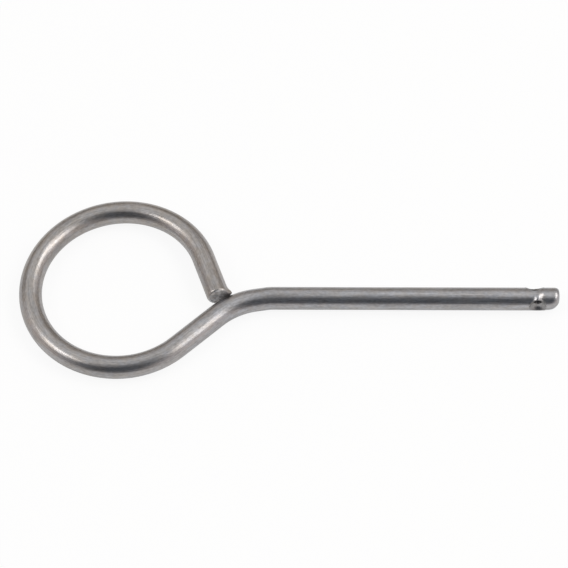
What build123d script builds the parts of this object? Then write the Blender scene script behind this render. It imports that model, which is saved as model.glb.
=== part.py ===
from build123d import *
from math import atan2, cos, degrees, radians, sin, sqrt
import os

# Ring pull pin bent from one length of round wire, lying flat. Sizes are in millimetres and angles in
# degrees. The wire's centreline lies in the XY plane: the straight shank runs along X from its first
# bend at the origin to the tip at +X, and the finger ring is at -X. Angles round the shank are taken
# about +X, from +Y towards +Z.

# Wire and shank
wire_diameter = 3.5
shank_length = 44.0

# Neck: a slight kink, a short run, then the bend that swings the wire out to the side of the ring
kink_radius = 3.0
kink_angle = 9.0
neck_run = 1.9
neck_radius = 11.4
neck_angle = 34.2
branch_length = 7.8

# Finger ring, wound back the other way in three blended bends
ring_bore = 24.6
ring_angle = 150.2
entry_radius = 13.4
entry_angle = 43.4
exit_radius = 13.6
exit_rise_angle = 2.2      # the last bend leans up out of the ring's plane

# Free end, which butts against the neck bend
seat_turn = 27.1           # how far round the neck bend the free end points
seat_gap = 0.05
free_end_round = 0.35

# Rolled-over tip of the shank
tip_flat_radius = 0.78
tip_shift = 0.42           # how far the dome of the end stands off the wire's axis
tip_land = 0.03            # how far the dome is clear of the wire on its long side
tip_side_angle = 212.0     # the side of the shank with the long roll-over
tip_side_blend = 0.5
tip_flat_blend = 0.4

# Three-jaw crimp that keeps the pin in its hole
jaw_count = 3
jaw_setback = 3.5          # from the tip to the middle of the crimp
jaw_stagger = 0.2          # each jaw closes this much farther from the tip than the one before
first_jaw_angle = 158.0
jaw_depth = 0.7
jaw_nose_radius = 1.4
jaw_point_radius = 0.7     # where the point stands out of the nose
jaw_point_depth = 0.5      # how far the point goes in below the nose

wire_radius = wire_diameter / 2
ring_radius = (ring_bore + wire_diameter) / 2
SEAT_STEPS = 25


def straight(after, length):
    """Straight run that carries on from the end of another stretch."""
    return Line(after @ 1, after @ 1 + (after % 1) * length)


def bend(after, radius, angle):
    """Round bend that carries on from another stretch; a positive angle turns left, seen from above."""
    return JernArc(start=after @ 1, tangent=after % 1, radius=radius, arc_size=angle)


def rising_bend(after, radius, angle, rise):
    """Right-hand bend whose plane leans up on the inside of the bend."""
    up = Vector(0, 0, 1).rotate(Axis((0, 0, 0), after % 1), -rise)
    leaning = Plane(origin=after @ 1, x_dir=after % 1, z_dir=up)
    return leaning * JernArc((0, 0), (1, 0), radius, -angle)


def direction(vector):
    """Direction of a vector in plan."""
    return degrees(atan2(vector.Y, vector.X))


def turn_to_aim(after, radius, target):
    """Angle of a right-hand bend that leaves the wire pointing at a target, in plan."""
    heading = after % 1
    centre = after @ 1 + heading.rotate(Axis.Z, -90) * radius
    sight = target - centre
    tangent_length = sqrt(sight.length**2 - radius**2)
    leaving = direction(sight) - degrees(atan2(radius, tangent_length))
    return (direction(heading) - leaving) % 360


def tube(stretch):
    """Round wire along one straight or round stretch of the route."""
    section = Plane(origin=stretch @ 0, z_dir=stretch % 0) * Circle(wire_radius)
    if stretch.geom_type == GeomType.LINE:
        return extrude(section, amount=stretch.length)
    spoke = stretch @ 0 - stretch.arc_center
    hinge = Axis(stretch.arc_center, spoke.cross(stretch % 0))
    return revolve(section, axis=hinge, revolution_arc=degrees(stretch.length / stretch.radius))


def length_to_seat(after, seat):
    """Length of a straight free end that stops short of the seat by the seat gap.

    Each step goes forward by the room that is left in front of the rounded end, which never
    carries it past the seat.
    """
    length = free_end_round
    for _ in range(SEAT_STEPS):
        inner_end = after @ 1 + (after % 1) * (length - free_end_round)
        inner_face = Plane(origin=inner_end, z_dir=after % 1) * Circle(wire_radius - free_end_round)
        length += inner_face.distance_to(seat) - free_end_round - seat_gap
    return length


def around(angle):
    """Direction square to the shank at an angle round it."""
    return Vector(0, cos(radians(angle)), sin(radians(angle)))


def shaped_tip(shank_tube):
    """Shank whose end is a dome, set off towards one side, with a small flat and blended edges."""
    dome_radius = wire_radius + tip_shift + tip_land
    dome_reach = sqrt(dome_radius**2 - tip_flat_radius**2)
    equator = Vector(shank_length - dome_reach, 0, 0)
    blank = Plane(origin=equator, z_dir=(1, 0, 0)) * extrude(Circle(wire_diameter), dome_radius)
    dome = Pos(equator - around(tip_side_angle) * tip_shift) * Sphere(dome_radius)
    shank_tube = shank_tube - (blank - dome)
    flat_rim = shank_tube.faces().sort_by(Axis.X)[-1].edges()
    shank_tube = fillet(flat_rim, tip_flat_blend)
    side_rims = shank_tube.faces().filter_by(GeomType.CYLINDER).sort_by(Axis.X)[-1].edges()
    return fillet(side_rims.sort_by(Axis.X)[-1], tip_side_blend)


def jaw(number):
    """One crimping jaw at the depth of its dent: a ball nose with a conical point."""
    inwards = -around(first_jaw_angle + number * 360 / jaw_count)
    stagger = jaw_stagger * (number - (jaw_count - 1) / 2)
    surface = Vector(shank_length - jaw_setback - stagger, 0, 0) - inwards * wire_radius
    nose = surface + inwards * (jaw_depth - jaw_nose_radius)
    point_root = nose + inwards * sqrt(jaw_nose_radius**2 - jaw_point_radius**2)
    point_end = surface + inwards * (jaw_depth + jaw_point_depth)
    cone = Cone(jaw_point_radius, 0, (point_end - point_root).length)
    point = Plane(origin=(point_root + point_end) / 2, z_dir=inwards) * cone
    return Pos(nose) * Sphere(jaw_nose_radius) + point


# Route of the wire, from the tip of the shank round to the free end
shank = Line((shank_length, 0, 0), (0, 0, 0))
kink = bend(shank, kink_radius, kink_angle)
run_to_neck = straight(kink, neck_run)
neck = bend(run_to_neck, neck_radius, neck_angle)
branch = straight(neck, branch_length)
ring_entry = bend(branch, entry_radius, -entry_angle)
ring_back = bend(ring_entry, ring_radius, -ring_angle)
seat_point = neck.position_at(seat_turn / neck_angle)
exit_angle = turn_to_aim(ring_back, exit_radius, seat_point)
ring_exit = rising_bend(ring_back, exit_radius, exit_angle, exit_rise_angle)

# Shank with its tip and crimp
shank_body = shaped_tip(tube(shank))
for number in range(jaw_count):
    shank_body -= jaw(number)

# Neck and branch, against which the free end is seated
seat_body = Part() + [tube(stretch) for stretch in (kink, run_to_neck, neck, branch)]

# Ring and free end
free_end = straight(ring_exit, length_to_seat(ring_exit, seat_body))
free_end_body = tube(free_end)
free_end_rim = free_end_body.faces().sort_by_distance(free_end @ 1)[0].edges()
free_end_body = fillet(free_end_rim, free_end_round)
ring_body = Part() + [tube(stretch) for stretch in (ring_entry, ring_back, ring_exit)]

ring_pin = shank_body + seat_body + ring_body + free_end_body
ring_pin.label = "ring_pin"

os.makedirs("parts", exist_ok=True)
export_step(ring_pin, "parts/ring_pin.step")
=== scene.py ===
import bpy
import numpy as np
from mathutils import Matrix, Vector


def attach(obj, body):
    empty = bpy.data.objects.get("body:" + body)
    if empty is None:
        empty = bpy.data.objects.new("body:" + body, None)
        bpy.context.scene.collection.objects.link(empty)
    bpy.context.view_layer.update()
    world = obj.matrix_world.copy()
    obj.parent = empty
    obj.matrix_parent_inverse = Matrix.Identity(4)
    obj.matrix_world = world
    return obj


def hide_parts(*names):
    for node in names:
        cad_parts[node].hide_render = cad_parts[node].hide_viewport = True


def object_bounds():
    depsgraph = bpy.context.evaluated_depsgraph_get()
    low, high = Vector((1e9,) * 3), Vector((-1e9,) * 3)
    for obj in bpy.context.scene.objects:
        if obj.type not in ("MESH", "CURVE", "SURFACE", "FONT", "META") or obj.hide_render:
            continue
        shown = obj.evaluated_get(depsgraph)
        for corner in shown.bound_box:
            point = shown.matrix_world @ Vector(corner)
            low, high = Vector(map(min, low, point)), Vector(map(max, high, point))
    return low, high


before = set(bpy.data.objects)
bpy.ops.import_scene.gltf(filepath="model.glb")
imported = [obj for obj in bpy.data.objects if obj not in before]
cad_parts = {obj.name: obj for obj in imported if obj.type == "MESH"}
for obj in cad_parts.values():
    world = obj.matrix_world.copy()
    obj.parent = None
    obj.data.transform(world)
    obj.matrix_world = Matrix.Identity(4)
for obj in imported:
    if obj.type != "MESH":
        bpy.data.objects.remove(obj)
cad_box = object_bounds()

# Ring pull pin in satin stainless wire, made as the real one is: a straight rod is domed and crimped at one
# end, sheared off at the other and then bent along its route. Sizes are in millimetres and degrees, and the
# wire and its route match the CAD part. Places on the rod are given by the distance from the tip of the
# shank, and angles round it are taken about +X from +Y towards +Z, which on the rod is from its side vector
# towards its up vector.
MM = 0.001
WIRE_RADIUS = 1.75

# Route of the wire, from the tip of the shank round to the free end. The neck's bends turn left and the
# ring's three bends turn right. The last of them rises out of the ring's plane.
SHANK_LENGTH = 44.0
KINK_RADIUS = 3.0
KINK_ANGLE = 9.0
NECK_RUN = 1.9
NECK_RADIUS = 11.4
NECK_ANGLE = 34.2
BRANCH_LENGTH = 7.8
ENTRY_RADIUS = 13.4
ENTRY_ANGLE = 43.4
RING_BORE = 24.6
RING_ANGLE = 150.2
EXIT_RADIUS = 13.6
EXIT_ANGLE = 99.436
EXIT_RISE_ANGLE = 2.2
FREE_END_LENGTH = 7.757

# Domed tip of the shank
TIP_DOME_RADIUS = 2.2
TIP_FLAT_RADIUS = 0.88
TIP_SHIFT = 0.45
TIP_SIDE_ANGLE = 235.0
TIP_BLEND = 0.4
TIP_FLAT_BLEND = 0.24

# Three-jaw crimp: angle round the rod, place along it and depth of each jaw's nose, and height of the lip of
# metal that stands up round its dent. The lip of the jaw underneath is pressed flat, so the pin lies on its
# round side.
JAWS = (
    {"angle": 165.0, "place": 3.37, "depth": 0.7, "lip": 0.036},
    {"angle": 282.0, "place": 3.55, "depth": 0.68, "lip": 0.0},
    {"angle": 37.2, "place": 3.75, "depth": 0.73, "lip": 0.036},
)
LIP_WIDTH = 0.13
DENT_EDGE = 0.12

# Nose of a jaw, a round bar bent across the rod, and its point, a rounded cone
NOSE_RADIUS_ALONG = 1.55
NOSE_RADIUS_ACROSS = 1.67
NOSE_BLEND = 0.04
POINT_RADIUS = 0.42
POINT_DEPTH = 0.55
POINT_POWER = 1.57
POINT_STRETCH = 1.2
POINT_SHIFT = -0.39
POINT_BLEND = 0.06

# Sheared free end: how far its rim is rounded on the side towards the shank and on the other, how much the
# cut slants, and the tongue of metal that it left
END_BLENDS = (0.12, 0.7)
END_SLANT = 0.05
TONGUE_ANGLE = 155.0
TONGUE_LENGTH = 0.45
TONGUE_HALF_WIDTH = 0.7

# Humps of the wire's side. A place below zero is counted from the free end. Two humps stand on the lands of
# the crimp, and the last is the burr of the sheared end.
HUMPS = (
    {"angle": 120.0, "place": 3.42, "height": 0.24, "half_length": 0.45, "half_width": 1.1, "tilt": -18.0},
    {"angle": 357.0, "place": 3.35, "height": 0.05, "half_length": 0.43, "half_width": 1.16, "tilt": -8.5},
    {"angle": 178.0, "place": -0.02, "height": 0.38, "half_length": 0.7, "half_width": 0.6, "tilt": 0.0},
)

# Fineness of the mesh: points round the rod, steps between its rows on the caps, the crimp, the shank and the
# bends, where the crimp's rows end, depth from each end at which the rays of its cap spread out, and how
# often each ray is halved
ROUND_STEPS = 160
CAP_STEP = 0.06
CRIMP_STEP = 0.04
SHANK_STEP = 1.0
BEND_STEP = 0.45
CRIMP_END = 5.6
TIP_CAP = 2.0
FREE_CAP = 1.4
HALVINGS = 34


def straight(length):
    """Straight stretch of the route, as its length, curvature and lean."""
    return length, 0.0, 0.0


def bend(radius, angle, lean=0.0):
    """Round bend of the route, as its length, curvature and lean; a positive angle turns left.

    Its length is the radius times the angle, and its curvature is one over the radius, below zero where it
    turns right.
    """
    turn = np.radians(angle)
    return radius * abs(turn), np.sign(turn) / radius, np.radians(lean)


ROUTE = (
    straight(SHANK_LENGTH),
    bend(KINK_RADIUS, KINK_ANGLE),
    straight(NECK_RUN),
    bend(NECK_RADIUS, NECK_ANGLE),
    straight(BRANCH_LENGTH),
    bend(ENTRY_RADIUS, -ENTRY_ANGLE),
    bend(RING_BORE / 2 + WIRE_RADIUS, -RING_ANGLE),
    bend(EXIT_RADIUS, -EXIT_ANGLE, EXIT_RISE_ANGLE),
    straight(FREE_END_LENGTH),
)
WIRE_LENGTH = sum(length for length, _, _ in ROUTE)


def turned(vector, axis, angles):
    """A vector turned about a unit axis by each angle.

    It is the vector times the cosine, plus the axis crossed with it times the sine, plus its part along the
    axis times one less the cosine.
    """
    cos, sin = np.cos(angles)[:, None], np.sin(angles)[:, None]
    return vector * cos + np.cross(axis, vector) * sin + axis * (axis @ vector) * (1 - cos)


def centreline(distance):
    """Place, heading and up vector of the wire's centreline at distances from the tip.

    Each stretch carries on from the end of the one before, and the next one takes over where it starts. A
    straight stretch goes on along its heading. A bend turns place, heading and up vector together about an
    axis through its centre, which keeps the wire untwisted.
    """
    place = np.empty((len(distance), 3))
    heading, up = np.empty_like(place), np.empty_like(place)
    here = np.array([SHANK_LENGTH, 0.0, 0.0])
    ahead, above = np.array([-1.0, 0.0, 0.0]), np.array([0.0, 0.0, 1.0])
    start = 0.0
    for length, curvature, lean in ROUTE:
        onward = distance >= start
        travel = np.append(distance[onward] - start, length)
        axis = turned(above, ahead, np.array([-lean]))[0]
        angles = travel * curvature
        if curvature:
            spoke = np.cross(ahead, axis) / curvature
            places = here - spoke + turned(spoke, axis, angles)
        else:
            places = here + travel[:, None] * ahead
        headings, ups = turned(ahead, axis, angles), turned(above, axis, angles)
        place[onward], heading[onward], up[onward] = places[:-1], headings[:-1], ups[:-1]
        here, ahead, above = places[-1], headings[-1], ups[-1]
        start += length
    return place, heading, up


def smooth_max(a, b, blend):
    """The larger of two distances, with the crease between them rounded.

    Where they differ by less than the blend, a parabola is added that reaches a quarter of the blend where
    they are equal.
    """
    overlap = np.maximum(blend - np.abs(a - b), 0) / blend
    return np.maximum(a, b) + overlap**2 * blend / 4


def around(angle):
    """Cosine and sine of an angle in degrees."""
    return np.cos(np.radians(angle)), np.sin(np.radians(angle))


def seen_from_jaw(side, up, jaw):
    """A point's height above the bottom of a jaw's nose, and how far it lies across the nose."""
    cos, sin = around(jaw["angle"])
    return side * cos + up * sin - WIRE_RADIUS + jaw["depth"], up * cos - side * sin


def nose_skin(along, side, up, jaw):
    """How far a point lies inside a jaw's nose: the bar's radius less the distance from its bent axis."""
    height, across = seen_from_jaw(side, up, jaw)
    arc_radius = NOSE_RADIUS_ACROSS - NOSE_RADIUS_ALONG
    off_arc = np.hypot(height - NOSE_RADIUS_ACROSS, across) - arc_radius
    return NOSE_RADIUS_ALONG - np.hypot(along - jaw["place"], off_arc)


def point_skin(along, side, up, jaw):
    """How far a place lies inside a jaw's point.

    The point's skin rises from its bottom as a power of the distance from its middle. The height over that
    skin, divided by the root of one plus its slope squared, is the distance from it.
    """
    height, across = seen_from_jaw(side, up, jaw)
    distance = np.hypot((along - jaw["place"]) / POINT_STRETCH, across - POINT_SHIFT) / POINT_RADIUS
    bottom = POINT_DEPTH * (distance**POINT_POWER - 1)
    slope = POINT_DEPTH * POINT_POWER / POINT_RADIUS * np.minimum(distance, 1) ** (POINT_POWER - 1)
    return (height - bottom) / np.hypot(1, slope)


def hump_height(along, side, up):
    """Height of the soft humps, added up.

    Each is its height times e to the power of minus x squared minus y squared, where x and y are the
    distances along and round the rod, turned by its tilt, over its half-length and half-width.
    """
    total = 0
    for hump in HUMPS:
        turn = (np.degrees(np.arctan2(up, side)) - hump["angle"] + 180) % 360 - 180
        ahead, round_by = along - hump["place"] % WIRE_LENGTH, np.radians(turn) * WIRE_RADIUS
        cos, sin = around(hump["tilt"])
        x = (ahead * cos + round_by * sin) / hump["half_length"]
        y = (round_by * cos - ahead * sin) / hump["half_width"]
        total = total + hump["height"] * np.exp(-(x**2) - y**2)
    return total


def tip_skin(along, side, up):
    """How far a point lies outside the tip: the larger of its distances past a flat and past a dome.

    The dome is off centre. Past its equator it widens out, so that it leaves the rest of the rod alone.
    """
    cos, sin = around(TIP_SIDE_ANGLE)
    reach = np.sqrt(TIP_DOME_RADIUS**2 - TIP_FLAT_RADIUS**2)
    across = np.hypot(side + TIP_SHIFT * cos, up + TIP_SHIFT * sin)
    dome = np.hypot(np.minimum(along - reach, 0), across) - TIP_DOME_RADIUS - np.maximum(along - reach, 0)
    return smooth_max(dome, -along, TIP_FLAT_BLEND)


def free_end_skin(along, side, up):
    """How far a point lies past the free end, which is a slanted cut with a tongue on it.

    The tongue's length falls off as e to the power of minus the square of the distance from its middle over
    its half-width.
    """
    cos, sin = around(TONGUE_ANGLE)
    away = np.hypot(side - WIRE_RADIUS * cos, up - WIRE_RADIUS * sin) / TONGUE_HALF_WIDTH
    return along - WIRE_LENGTH + END_SLANT * (1 + up / WIRE_RADIUS) - TONGUE_LENGTH * np.exp(-(away**2))


def dent_depth(along, side, up):
    """1 on the skin that the jaws have pressed, falling evenly to 0 over the width of the dent's edge."""
    jaws = [skin(along, side, up, jaw) for jaw in JAWS for skin in (nose_skin, point_skin)]
    return np.clip(1 + np.max(jaws, axis=0) / DENT_EDGE, 0, 1)


def wire_skin(along, side, up):
    """How far a point lies outside the straight rod, below zero inside it.

    The rod's round side is raised by the humps and by a lip round each nose. It is cut by the domed tip, the
    slanted free end and the noses and points of the jaws, and each cut keeps the larger of two distances.
    """
    skin = np.hypot(side, up) - WIRE_RADIUS - hump_height(along, side, up)
    skin = smooth_max(skin, tip_skin(along, side, up), TIP_BLEND)
    end_blend = np.interp(side, (-WIRE_RADIUS, WIRE_RADIUS), END_BLENDS)
    skin = smooth_max(skin, free_end_skin(along, side, up), end_blend)
    noses = [nose_skin(along, side, up, jaw) for jaw in JAWS]
    for nose, jaw in zip(noses, JAWS):
        skin = skin - jaw["lip"] * np.exp(-((nose / LIP_WIDTH) ** 2))
    for nose, jaw in zip(noses, JAWS):
        skin = smooth_max(skin, nose, NOSE_BLEND)
        skin = smooth_max(skin, point_skin(along, side, up, jaw), POINT_BLEND)
    return skin


def cap_aims(depth):
    """Where the rays of a rounded end aim, out from the axis and along it.

    The aims are evenly spaced, first up the side of a square end and then in over its face to the axis.
    """
    rise = np.arange(CAP_STEP, depth, CAP_STEP)
    inwards = np.arange(WIRE_RADIUS, CAP_STEP / 2, -CAP_STEP)
    radial = np.concatenate([np.full_like(rise, WIRE_RADIUS), inwards])
    axial = np.concatenate([rise, np.full_like(inwards, depth)])
    return radial, axial


def stations():
    """Rows of rays along the rod: where each row starts on the axis, and where it aims, out and along."""
    free_start = WIRE_LENGTH - FREE_CAP
    body = np.concatenate([
        np.arange(TIP_CAP, CRIMP_END, CRIMP_STEP),
        np.arange(CRIMP_END, SHANK_LENGTH, SHANK_STEP),
        np.arange(SHANK_LENGTH, free_start, BEND_STEP),
        [free_start],
    ])
    tip_radial, tip_axial = cap_aims(TIP_CAP)
    free_radial, free_axial = cap_aims(FREE_CAP)
    start = np.concatenate([
        np.full_like(tip_radial, TIP_CAP), body, np.full_like(free_radial, free_start)
    ])
    radial = np.concatenate([tip_radial[::-1], np.full_like(body, WIRE_RADIUS), free_radial])
    axial = np.concatenate([-tip_axial[::-1], np.zeros_like(body), free_axial])
    return start, radial, axial


def rod_surface():
    """Points of the straight rod's skin on a grid of stations by angles, as along, side and up.

    A ray leaves the axis for each point, and the stretch of it that crosses the skin is halved again and
    again until it is as good as a point.
    """
    start, radial, axial = stations()
    angle = np.linspace(0, 2 * np.pi, ROUND_STEPS, endpoint=False)
    size = np.hypot(radial, axial)
    ray = np.stack([
        np.broadcast_to((axial / size)[:, None], (len(size), ROUND_STEPS)),
        (radial / size)[:, None] * np.cos(angle),
        (radial / size)[:, None] * np.sin(angle),
    ])
    near = np.zeros((len(size), ROUND_STEPS))
    far = np.full_like(near, 2 * WIRE_RADIUS)
    for _ in range(HALVINGS):
        middle = (near + far) / 2
        along, side, up = ray * middle
        outside = wire_skin(along + start[:, None], side, up) > 0
        far = np.where(outside, middle, far)
        near = np.where(outside, near, middle)
    along, side, up = ray * near
    return along + start[:, None], side, up


def bend_along_route(along, side, up):
    """Points of the rod carried onto the bent wire: centreline + side vector * side + up vector * up.

    Both ends of the wire are straight, so a point past a station is reached along the station's heading.
    """
    station = along.mean(axis=1).clip(0, WIRE_LENGTH)
    place, heading, above = centreline(station)
    sideways = np.cross(heading, above)
    shift = along - station[:, None]
    return (
        place[:, None] + heading[:, None] * shift[..., None]
        + sideways[:, None] * side[..., None] + above[:, None] * up[..., None]
    )


def with_poles(grid):
    """Points of a grid row after row, and after them the middles of its first and of its last row."""
    return np.concatenate([grid.reshape(-1, 3), grid[[0, -1]].mean(axis=1)])


def closed_tube(rows, columns):
    """Faces of a closed grid: quads between neighbouring rows and a fan of triangles at each pole."""
    row, column = np.meshgrid(np.arange(rows - 1), np.arange(columns), indexing="ij")
    right = (column + 1) % columns
    quads = np.stack([
        row * columns + column, row * columns + right,
        (row + 1) * columns + right, (row + 1) * columns + column,
    ], axis=-1).reshape(-1, 4)
    ring = np.arange(columns)
    ahead = (ring + 1) % columns
    first, last = rows * columns, rows * columns + 1
    end = (rows - 1) * columns
    first_fan = np.stack([np.full(columns, first), ahead, ring], axis=-1)
    last_fan = np.stack([np.full(columns, last), end + ring, end + ahead], axis=-1)
    return quads.tolist() + first_fan.tolist() + last_fan.tolist()


def add_object(name, data):
    """A new object of the scene that holds the data."""
    made = bpy.data.objects.new(name, data)
    bpy.context.scene.collection.objects.link(made)
    return made


def make_pin():
    """The whole pin as one closed mesh.

    Each point keeps its place on the straight rod as the attribute rod, and how far it is pressed by the
    jaws as the attribute dented.
    """
    along, side, up = rod_surface()
    on_rod = with_poles(np.stack([along, side, up], axis=-1))
    vertices = with_poles(bend_along_route(along, side, up)) * MM
    mesh = bpy.data.meshes.new("ring_pin_wire")
    mesh.from_pydata(vertices.tolist(), [], closed_tube(*along.shape))
    mesh.attributes.new("rod", "FLOAT_VECTOR", "POINT").data.foreach_set("vector", on_rod.ravel())
    mesh.attributes.new("dented", "FLOAT", "POINT").data.foreach_set("value", dent_depth(*on_rod.T))
    mesh.shade_smooth()
    mesh.update()
    return add_object("ring_pin_wire", mesh)


class Value:
    """A shader socket that reads as a number in an expression, where each operation adds a Math node."""

    def __init__(self, graph, socket):
        self.graph = graph
        self.socket = socket

    def __add__(self, other):
        return self.graph.math("ADD", self, other)

    def __rsub__(self, other):
        return self.graph.math("SUBTRACT", other, self)

    def __mul__(self, other):
        return self.graph.math("MULTIPLY", self, other)

    __radd__ = __add__
    __rmul__ = __mul__


class Graph:
    """Node tree of a material or of the world."""

    def __init__(self, owner):
        owner.use_nodes = True
        self.tree = owner.node_tree
        self.tree.nodes.clear()

    def node(self, kind, settings=None, inputs=None, output=0):
        """A node of that kind, with its settings made first and then its sockets set or linked."""
        made = self.tree.nodes.new(kind)
        for name, value in (settings or {}).items():
            setattr(made, name, value)
        for name, value in (inputs or {}).items():
            if isinstance(value, Value):
                self.tree.links.new(value.socket, made.inputs[name])
            else:
                made.inputs[name].default_value = value
        return Value(self, made.outputs[output]) if made.outputs else None

    def math(self, operation, *values):
        """An operation on numbers or sockets."""
        return self.node("ShaderNodeMath", {"operation": operation}, dict(enumerate(values)))

    def mix_colour(self, factor, first, second, blend="MIX"):
        """The first colour at a factor of 0, and at 1 the second or its blend with the first."""
        settings = {"data_type": "RGBA", "blend_type": blend}
        return self.node("ShaderNodeMix", settings, {"Factor": factor, "A": first, "B": second}, "Result")

    def noise(self, place, stretch, scale, detail=3.0):
        """Soft random values from 0 to 1 at places on the straight rod, stretched along it."""
        mapped = self.node("ShaderNodeMapping", None, {"Vector": place, "Scale": (1 / stretch, 1.0, 1.0)})
        return self.node("ShaderNodeTexNoise", None, {"Vector": mapped, "Scale": scale, "Detail": detail})

    def between(self, value, none, full):
        """0 at the one end of a range and past it, 1 at the other and past it, and a smooth step between."""
        return self.node(
            "ShaderNodeMapRange", {"interpolation_type": "SMOOTHSTEP"},
            {"Value": value, "From Min": none, "From Max": full},
        )


def grey(level, red=0.0, blue=0.0):
    """A grey with its red and its blue raised or, below zero, lowered by a part of the level."""
    return (level * (1 + red), level, level * (1 + blue), 1)


# Patterns of the satin finish: how far each is drawn out along the wire, and its cells to a millimetre
LINES = {"stretch": 40.0, "scale": 7.0}
BANDS = {"stretch": 14.0, "scale": 1.6}
GRAIN = {"stretch": 2.5, "scale": 4.5}
CLOUDS = {"stretch": 1.6, "scale": 1.1, "detail": 4.0}
PITS = {"stretch": 1.0, "scale": 2.2}
PATTERN_RANGE = (0.35, 0.65)

# Where the look of the sheared face, the painted shade on the burr and the warmer wire set in and where they
# are full, along the rod and, for the burr's painted shade, also to the side of its axis
SHEARED_RUN = (WIRE_LENGTH - 0.32, WIRE_LENGTH - 0.12)
BURR_SHADE_RUN = (WIRE_LENGTH - 0.6, WIRE_LENGTH - 0.3)
BURR_SHADE_SIDE = (-0.6, -1.4)
WARM_RUN = (30.0, 110.0)

# Colours, each pair from the dark to the light end of a pattern or from the cool to the warm one, and how far
# the dents take on their painted shade
WIRE_COLOURS = (grey(0.25), grey(0.435))
FACE_COLOURS = (grey(0.56, -0.05, 0.04), grey(0.86, -0.05, 0.04))
# Painted shade on the burr of the free end, on its side towards the shank
BURR_SHADE_COLOUR = grey(0.33)
# Painted shade in the crimp's dents
DENT_SHADE_COLOUR = grey(0.12, 0.0, -0.1)
DENT_SHADE_SHARE = 0.3
TINTS = ((1.04, 1.045, 1.09, 1), (1.0, 0.925, 0.86, 1))

# Share of each pattern in the tone, the roughness and the bumps, in which the lines count as 1, and the
# roughness without them
LINES_TONE = 0.35
BANDS_TONE = 0.3
GRAIN_TONE = 0.35
TONE_RANGE = (0.34, 0.66)
ROUGHNESS = 0.26
BANDS_ROUGHNESS = 0.08
GRAIN_ROUGHNESS = 0.06
SHEARED_ROUGHNESS = 0.36
GRAIN_BUMP = 0.8
BANDS_BUMP = 0.8
PITS_BUMP = 8.0
BUMP_STRENGTH = 0.35
BUMP_HEIGHT = 0.016


def drawn_stainless():
    """Satin stainless wire with a pale, pitted sheared face, and painted shade that darkens its burr and its
    dents.

    Lines, bands and grain drawn out along the wire set its tone and its bumps, and the last two also its
    roughness. The place along the wire and soft clouds tint it from cool to warm.
    """
    material = bpy.data.materials.new("drawn_stainless")
    graph = Graph(material)
    rod = graph.node("ShaderNodeAttribute", {"attribute_name": "rod"}, None, "Vector")
    dented = graph.node("ShaderNodeAttribute", {"attribute_name": "dented"}, None, "Fac")
    along = graph.node("ShaderNodeSeparateXYZ", None, {"Vector": rod}, "X")
    side = graph.node("ShaderNodeSeparateXYZ", None, {"Vector": rod}, "Y")
    lines, bands, grain, clouds, pits = (
        graph.noise(rod, **pattern) for pattern in (LINES, BANDS, GRAIN, CLOUDS, PITS)
    )
    sheared = graph.between(along, *SHEARED_RUN)
    # Mask of the painted shade on the burr of the free end, on its side towards the shank
    burr_shade = graph.between(along, *BURR_SHADE_RUN) * graph.between(side, *BURR_SHADE_SIDE)
    warmth = (graph.between(along, *WARM_RUN) + graph.between(clouds, *PATTERN_RANGE)) * 0.5
    tone = LINES_TONE * lines + BANDS_TONE * bands + GRAIN_TONE * grain

    colour = graph.mix_colour(graph.between(tone, *TONE_RANGE), *WIRE_COLOURS)
    face = graph.mix_colour(graph.between(pits, *PATTERN_RANGE), *FACE_COLOURS)
    colour = graph.mix_colour(sheared, colour, face)
    # Painted shade darkens the burr
    colour = graph.mix_colour(burr_shade, colour, BURR_SHADE_COLOUR)
    # Painted shade darkens the dents, as far as the jaws pressed them
    colour = graph.mix_colour(DENT_SHADE_SHARE * dented, colour, DENT_SHADE_COLOUR)
    colour = graph.mix_colour(1.0, colour, graph.mix_colour(warmth, *TINTS), "MULTIPLY")
    roughness = ROUGHNESS + BANDS_ROUGHNESS * bands + GRAIN_ROUGHNESS * grain + SHEARED_ROUGHNESS * sheared
    height = lines + GRAIN_BUMP * grain + BANDS_BUMP * bands + PITS_BUMP * sheared * pits
    bump = graph.node(
        "ShaderNodeBump", None, {"Strength": BUMP_STRENGTH, "Distance": BUMP_HEIGHT * MM, "Height": height}
    )
    shader = graph.node(
        "ShaderNodeBsdfPrincipled", None,
        {"Base Color": colour, "Metallic": 1.0, "Roughness": roughness, "Normal": bump},
    )
    graph.node("ShaderNodeOutputMaterial", None, {"Surface": shader})
    return material


# Camera at the photograph's viewing angle. It looks at VIEW_TARGET from an azimuth off -Y and an elevation.
VIEW_AZIMUTH = 3.588
VIEW_ELEVATION = 58.192
VIEW_ROLL = -2.905
VIEW_DISTANCE = 308.1
VIEW_TARGET = (1.878, 2.590, 0.0)
CLIP_START = 10.0
FRAME_WIDTH_PX = 568
FOCAL_PX = 1998.286
SENSOR_WIDTH = 36.0


def direction(azimuth, elevation):
    """Unit vector at an azimuth in degrees from +X towards +Y and an elevation above the floor."""
    (cos_a, sin_a), (cos_e, sin_e) = around(azimuth), around(elevation)
    return Vector((cos_a * cos_e, sin_a * cos_e, sin_e))


def aim(place, towards, roll):
    """Matrix of a camera or lamp at a place that looks towards a point, rolled about its line of sight."""
    back = (place - towards).normalized()
    right = Vector((0, 0, 1)).cross(back).normalized()
    turn = Matrix((right, back.cross(right), back)).transposed().to_4x4()
    return Matrix.Translation(place) @ turn @ Matrix.Rotation(np.radians(roll), 4, "Z")


def make_camera():
    """Camera whose lens gives the photograph's perspective."""
    data = bpy.data.cameras.new("view")
    data.sensor_width = SENSOR_WIDTH
    data.lens = FOCAL_PX / FRAME_WIDTH_PX * SENSOR_WIDTH
    data.clip_start = CLIP_START * MM
    camera = add_object("view", data)
    target = Vector(VIEW_TARGET) * MM
    place = target + direction(VIEW_AZIMUTH - 90, VIEW_ELEVATION) * VIEW_DISTANCE * MM
    camera.matrix_world = aim(place, target, VIEW_ROLL)
    bpy.context.scene.camera = camera


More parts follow.
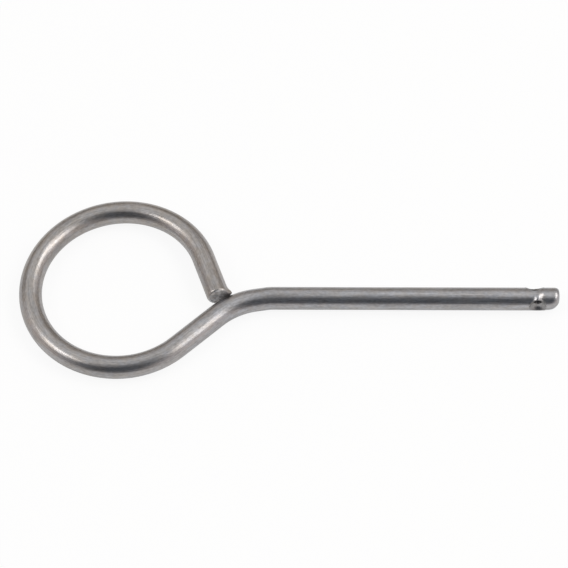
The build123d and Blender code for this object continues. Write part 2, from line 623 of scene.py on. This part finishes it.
# Pale floor: its size, its colour, and the share of plain white in what the camera and reflections see of it
FLOOR_SIZE = 3000.0
FLOOR_COLOUR = grey(0.9)
CAMERA_WHITE = 0.9
REFLECTED_WHITE = 0.6

# Softbox on each side of the pin
SOFTBOX_DISTANCE = 600.0
SOFTBOX_COLOUR = (1.04, 1.0, 0.96)
SOFTBOXES = {
    "softbox_right": {
        "azimuth": 2.0, "elevation": 50.0, "roll": 26.0, "width": 520.0, "height": 210.0, "radiance": 3.7,
    },
    "softbox_left": {
        "azimuth": 191.0, "elevation": 49.0, "roll": 0.0, "width": 190.0, "height": 200.0, "radiance": 4.6,
    },
}

# Surroundings: the middle of each part of them, and the angles from it where that part sets in and is full
OVERHEAD = {"azimuth": 0.0, "elevation": 90.0, "outer": 84.0, "inner": 25.0}
BEHIND = {"azimuth": 100.0, "elevation": 0.0, "outer": 85.0, "inner": 50.0}
IN_FRONT = {"azimuth": 262.0, "elevation": 37.0, "outer": 62.0, "inner": 16.0}
OVERHEAD_COLOUR = grey(0.95, -0.01, 0.01)
LOW_COLOUR = grey(0.85, 0.09, -0.02)
BEHIND_COLOUR = grey(0.38, 0.1, -0.12)
FRONT_COLOUR = grey(0.1, -0.12, 0.2)


def make_floor():
    """Pale floor under the pin, which the camera sees as nearly white and reflections show lightened.

    The rest of what they see is the floor's lit surface, which keeps the pin's shadow.
    """
    half = FLOOR_SIZE / 2 * MM
    height = cad_box[0][2]
    mesh = bpy.data.meshes.new("floor")
    corners = [(x, y, height) for x, y in ((-half, -half), (half, -half), (half, half), (-half, half))]
    mesh.from_pydata(corners, [], [(0, 1, 2, 3)])
    floor = add_object("floor", mesh)
    material = bpy.data.materials.new("pale_floor")
    graph = Graph(material)
    camera, glossy, transmission = (
        graph.node("ShaderNodeLightPath", None, None, f"Is {kind} Ray")
        for kind in ("Camera", "Glossy", "Transmission")
    )
    reflected = graph.math("MAXIMUM", glossy, transmission)
    seen = graph.math("MAXIMUM", CAMERA_WHITE * camera, REFLECTED_WHITE * reflected)
    diffuse = graph.node("ShaderNodeBsdfDiffuse", None, {"Color": FLOOR_COLOUR})
    white = graph.node("ShaderNodeEmission", None, {"Color": grey(1.0), "Strength": 1.0})
    surface = graph.node("ShaderNodeMixShader", None, {0: seen, 1: diffuse, 2: white})
    graph.node("ShaderNodeOutputMaterial", None, {"Surface": surface})
    mesh.materials.append(material)


def make_softboxes():
    """Large soft lamps on both sides of the pin."""
    for name, box in SOFTBOXES.items():
        data = bpy.data.lights.new(name, "AREA")
        data.shape = "RECTANGLE"
        data.size, data.size_y = box["width"] * MM, box["height"] * MM
        data.color = SOFTBOX_COLOUR
        data.energy = box["radiance"] * np.pi * data.size * data.size_y
        lamp = add_object(name, data)
        place = direction(box["azimuth"], box["elevation"]) * SOFTBOX_DISTANCE * MM
        lamp.matrix_world = aim(place, Vector((0, 0, 0)), box["roll"])


def make_world():
    """Even surroundings, warmer low down, dimmer behind the pin and darkest in front, where the camera is."""
    world = bpy.data.worlds.new("studio")
    bpy.context.scene.world = world
    graph = Graph(world)
    towards = graph.node("ShaderNodeTexCoord", None, None, "Generated")

    def facing(azimuth, elevation, outer, inner):
        """1 within the inner angle of a direction, 0 beyond the outer angle."""
        cosine = graph.node(
            "ShaderNodeVectorMath", {"operation": "DOT_PRODUCT"},
            {0: towards, 1: direction(azimuth, elevation)}, "Value",
        )
        return graph.between(cosine, np.cos(np.radians(outer)), np.cos(np.radians(inner)))

    low = 1 - facing(**OVERHEAD)
    colour = graph.mix_colour(low, OVERHEAD_COLOUR, LOW_COLOUR)
    colour = graph.mix_colour(low * facing(**BEHIND), colour, BEHIND_COLOUR)
    colour = graph.mix_colour(facing(**IN_FRONT), colour, FRONT_COLOUR)
    background = graph.node("ShaderNodeBackground", None, {"Color": colour, "Strength": 1.0})
    graph.node("ShaderNodeOutputWorld", None, {"Surface": background})


pin = make_pin()
pin.data.materials.append(drawn_stainless())
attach(pin, "root")
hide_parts("ring_pin")

make_floor()
make_softboxes()
make_world()
make_camera()
bpy.context.scene.view_settings.view_transform = "Standard"
